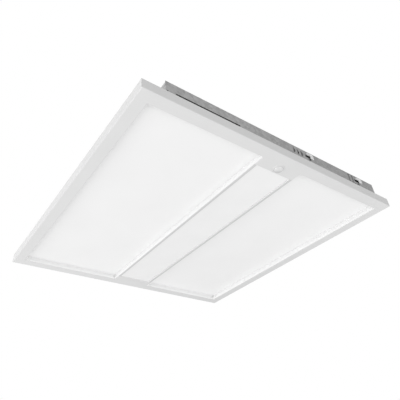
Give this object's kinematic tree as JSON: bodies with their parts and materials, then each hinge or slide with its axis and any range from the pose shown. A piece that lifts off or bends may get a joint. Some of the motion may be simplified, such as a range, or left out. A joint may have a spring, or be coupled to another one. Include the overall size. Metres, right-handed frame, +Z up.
{
  "type": "recessed troffer light",
  "caption": "Square lay-in recessed troffer light with opal lens panels, a flat centre spine, a small sensor, a galvanised back and swing-out grid clips.",
  "frame": {"origin": "centre of the face, in the plane of the face frame's visible side, where the ceiling grid carries it", "axes": "+Z up into the ceiling; -Y towards the end with the sensor; +X to the right seen from above with -Y near"},
  "size_m": [0.603, 0.6106, 0.0503],
  "materials": {
    "white_steel": "semi-gloss white powder coat",
    "cover_white": "satin white powder coat, a little lighter than the frame",
    "opal_lens": "satin opal acrylic",
    "galvanised": "hot-dip galvanised sheet, fine spangle",
    "clip_steel": "bright zinc plate",
    "zinc_screw": "bright zinc plate",
    "spring_steel": "bare spring steel",
    "reflector_white": "matt high-reflectance white",
    "led_board": "white solder mask",
    "led_yellow": "phosphor under clear resin",
    "driver_paint": "white enamel",
    "terminal_grey": "moulded nylon",
    "circuit_green": "solder mask over a glass board",
    "foam": "closed-cell foam",
    "sensor_white": "moulded, satin",
    "sensor_dome": "moulded, smooth",
    "nylon_black": "moulded nylon",
    "earth_green": "dyed zinc plate"
  },
  "bodies": {
    "root": {"face_frame": "white_steel", "corner_brackets": "galvanised", "frame_screws": "zinc_screw", "back_pan": "galvanised", "end_plate_near": "galvanised", "end_plate_far": "galvanised", "plate_rivets": "zinc_screw", "clip_pins": "zinc_screw", "driver_plate": "galvanised", "driver_case": "driver_paint", "driver_terminals": "terminal_grey", "driver_circuit": "circuit_green", "driver_screws": "zinc_screw", "wiring_box": "galvanised", "terminal_block": "terminal_grey", "earth_screw": "earth_green", "lid_pin": "zinc_screw", "lens_bezel_left": "cover_white", "lens_bezel_right": "cover_white", "lens_left": "opal_lens", "lens_right": "opal_lens", "lens_gasket_left": "foam", "lens_gasket_right": "foam", "reflector_tray_left": "reflector_white", "reflector_tray_right": "reflector_white", "led_boards_left": "led_board", "led_boards_right": "led_board", "led_packages_left": "led_yellow", "led_packages_right": "led_yellow", "spine_divider_left": "galvanised", "spine_divider_right": "galvanised"},
    "clip_near_inner": {"grid_clip_near_inner": "clip_steel"},
    "clip_near_outer": {"grid_clip_near_outer": "clip_steel"},
    "clip_far_inner": {"grid_clip_far_inner": "clip_steel"},
    "clip_far_outer": {"grid_clip_far_outer": "clip_steel"},
    "cover": {"centre_cover": "cover_white", "cover_springs": "spring_steel"},
    "sensor": {"sensor_bezel": "sensor_white", "sensor_lens": "sensor_dome", "sensor_housing": "sensor_white"},
    "lid": {"access_lid": "galvanised", "lid_screw": "zinc_screw", "knockout_slug": "galvanised", "inlet_bushing": "nylon_black"}
  },
  "joints": [
    {"name": "clip_near_inner_swing", "type": "hinge", "parent": "root", "child": "clip_near_inner", "pos_m": [0.06, -0.3031, 0.0275], "axis": [0, 0, 1], "range_deg": [-90, 0]},
    {"name": "clip_near_outer_swing", "type": "hinge", "parent": "root", "child": "clip_near_outer", "pos_m": [0.208, -0.3031, 0.0275], "axis": [0, 0, 1], "range_deg": [-90, 0]},
    {"name": "clip_far_inner_swing", "type": "hinge", "parent": "root", "child": "clip_far_inner", "pos_m": [-0.06, 0.3031, 0.0275], "axis": [0, 0, 1], "range_deg": [-90, 0]},
    {"name": "clip_far_outer_swing", "type": "hinge", "parent": "root", "child": "clip_far_outer", "pos_m": [-0.208, 0.3031, 0.0275], "axis": [0, 0, 1], "range_deg": [-90, 0]},
    {"name": "cover_drop", "type": "slide", "parent": "root", "child": "cover", "axis": [0, 0, -1], "range_m": [0, 0.022]},
    {"name": "sensor_pull", "type": "slide", "parent": "root", "child": "sensor", "axis": [0, 0, -1], "range_m": [0, 0.028]},
    {"name": "lid_hinge", "type": "hinge", "parent": "root", "child": "lid", "pos_m": [0, 0.2691, 0.0445], "axis": [-1, 0, 0], "range_deg": [0, 110]}
  ]
}
